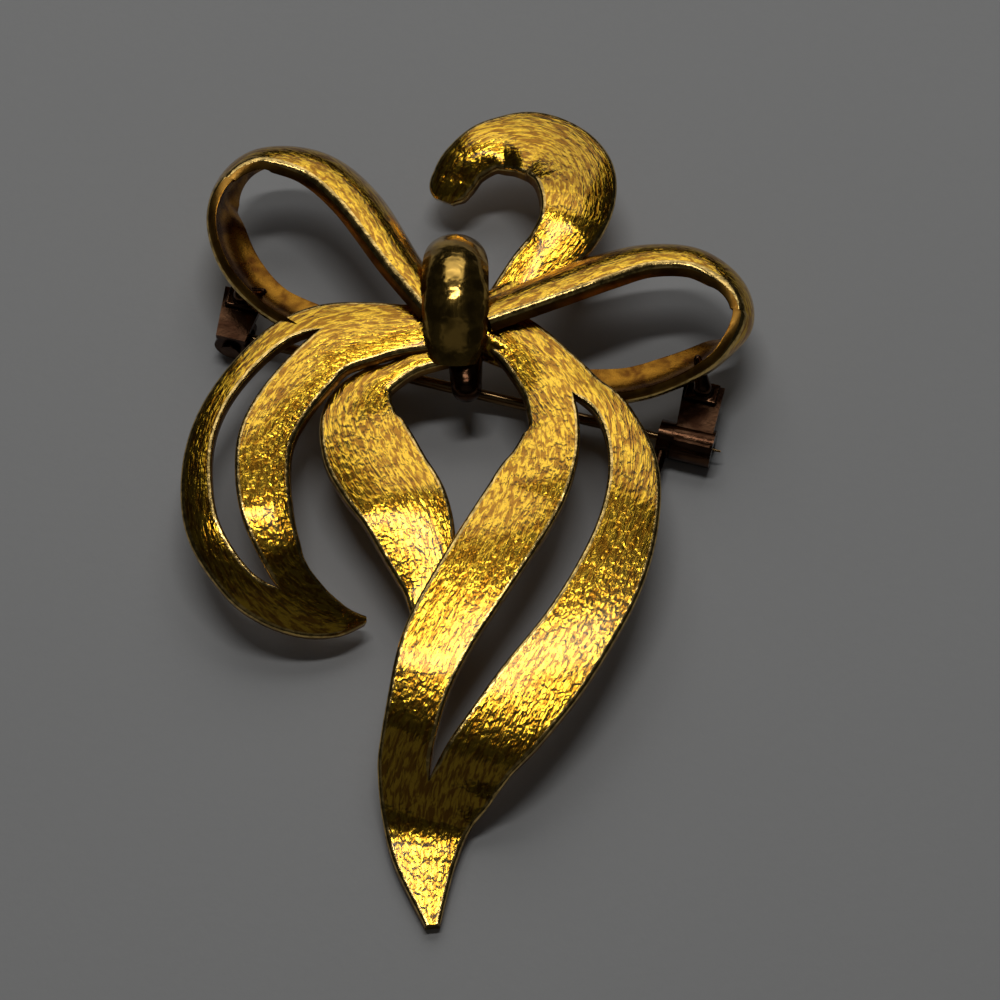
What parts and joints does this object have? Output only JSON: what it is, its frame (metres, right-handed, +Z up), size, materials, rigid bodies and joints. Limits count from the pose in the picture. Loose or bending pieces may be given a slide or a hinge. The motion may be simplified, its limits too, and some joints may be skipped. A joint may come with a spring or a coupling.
{
  "type": "bow brooch",
  "caption": "Cast metal bow brooch of looped and split ribbon tails round an oval knot, with a hinged pin stem and a turning catch behind.",
  "frame": {"origin": "bottom centre of the bounding box, on the surface that the brooch lies on", "axes": "+Z up from the table, out of the brooch's front; +Y towards the curl at the top; +X to the right of a person who looks at the front"},
  "size_m": [0.044, 0.0692, 0.0093],
  "materials": {
    "brushed_gold": "gold-plated casting, brushed along the ribbons, with polished rims",
    "polished_gold": "polished gold plate",
    "gilt_findings": "gilt brass findings, satin"
  },
  "bodies": {
    "brooch": {"bow": "brushed_gold", "knot_band": "polished_gold", "hinge_bracket": "gilt_findings", "hinge_rivet": "gilt_findings", "catch_barrel": "gilt_findings"},
    "pin": {"pin_stem": "gilt_findings"},
    "lock": {"catch_lock": "gilt_findings"}
  },
  "joints": [
    {"name": "pin_swing", "type": "hinge", "parent": "brooch", "child": "pin", "pos_m": [-0.01844, 0.01533, 0.00137], "axis": [0.2693, 0.9631, 0], "range_deg": [0, 100]},
    {"name": "lock_turn", "type": "hinge", "parent": "brooch", "child": "lock", "pos_m": [0.01712, 0.00539, 0.00137], "axis": [0.9631, -0.2693, 0], "range_deg": [0, 100]}
  ]
}
